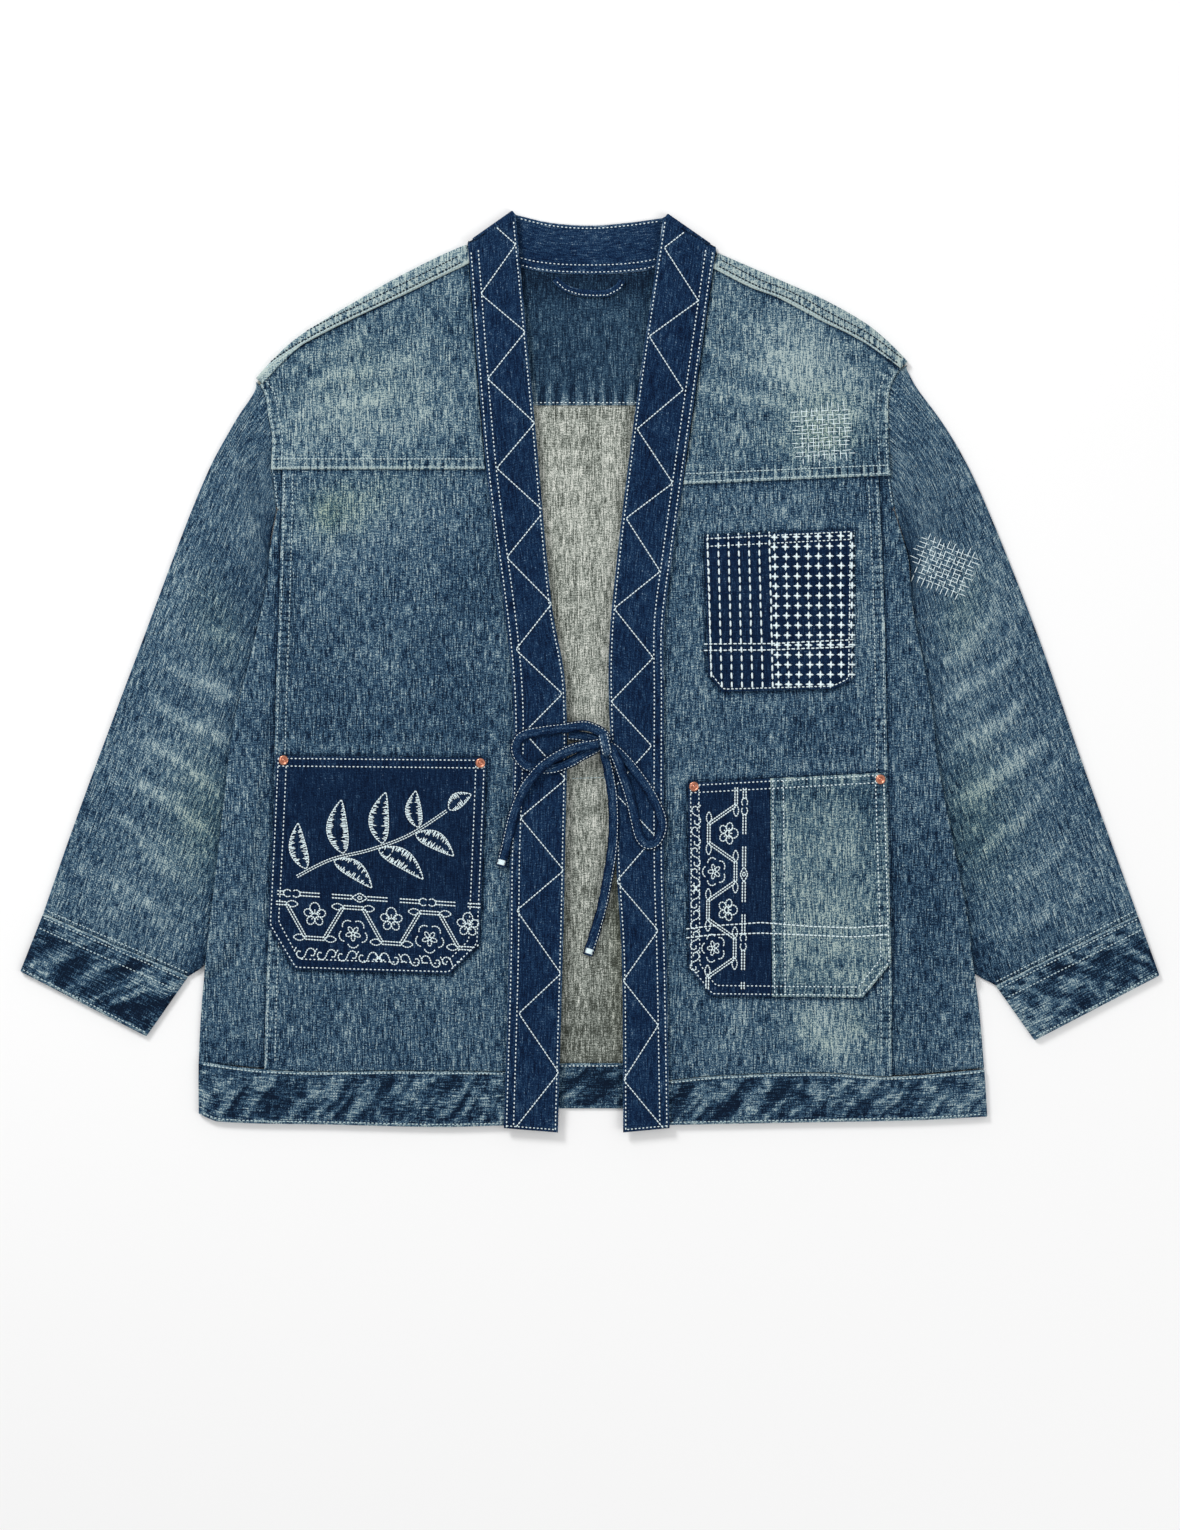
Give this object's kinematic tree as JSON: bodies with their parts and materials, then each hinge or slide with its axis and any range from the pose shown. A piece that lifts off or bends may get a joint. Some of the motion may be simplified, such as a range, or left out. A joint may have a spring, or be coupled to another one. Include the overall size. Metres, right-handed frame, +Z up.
{
  "type": "patched boro jacket",
  "caption": "Patched and sashiko-stitched denim work jacket with an open front, a band collar and a tied bow, laid flat on its back with its sleeves out.",
  "frame": {"origin": "middle of the laid-out jacket's outline, on the surface it lies on", "axes": "+X to the wearer's left along the outline's length from cuff to cuff, +Y from the hem to the neck, +Z up from the surface, out of the jacket's front"},
  "size_m": [0.9328, 0.7548, 0.0151],
  "materials": {
    "worn_denim": "matte, worn twill",
    "faded_denim": "matte, faded twill",
    "dark_denim": "matte, dark twill",
    "indigo_denim": "matte, dark twill",
    "crinkled_denim": "matte, crinkled twill",
    "thread": "matte, off-white cotton",
    "copper": "satin, copper coloured"
  },
  "bodies": {
    "root": {"back_panel": "worn_denim", "back_yoke": "faded_denim", "back_yoke_facing": "indigo_denim", "front_panel_right": "worn_denim", "front_yoke_right": "faded_denim", "front_panel_left": "worn_denim", "front_yoke_left": "faded_denim", "sleeve_right": "worn_denim", "cuff_right": "crinkled_denim", "sleeve_left": "worn_denim", "cuff_left": "crinkled_denim", "hem_band": "crinkled_denim", "collar_band": "dark_denim", "pocket_lower_right": "indigo_denim", "pocket_lower_left_dark": "indigo_denim", "pocket_lower_left_pale": "faded_denim", "pocket_chest": "indigo_denim", "rivet_right_side": "copper", "rivet_right_front": "copper", "rivet_left_front": "copper", "rivet_left_side": "copper", "hanger_loop": "dark_denim", "tie_right_base": "dark_denim", "tie_loop_right": "dark_denim", "tie_tail_right": "dark_denim", "tie_loop_left": "dark_denim", "tie_tail_left": "dark_denim", "tie_knot": "dark_denim"}
  },
  "joints": []
}
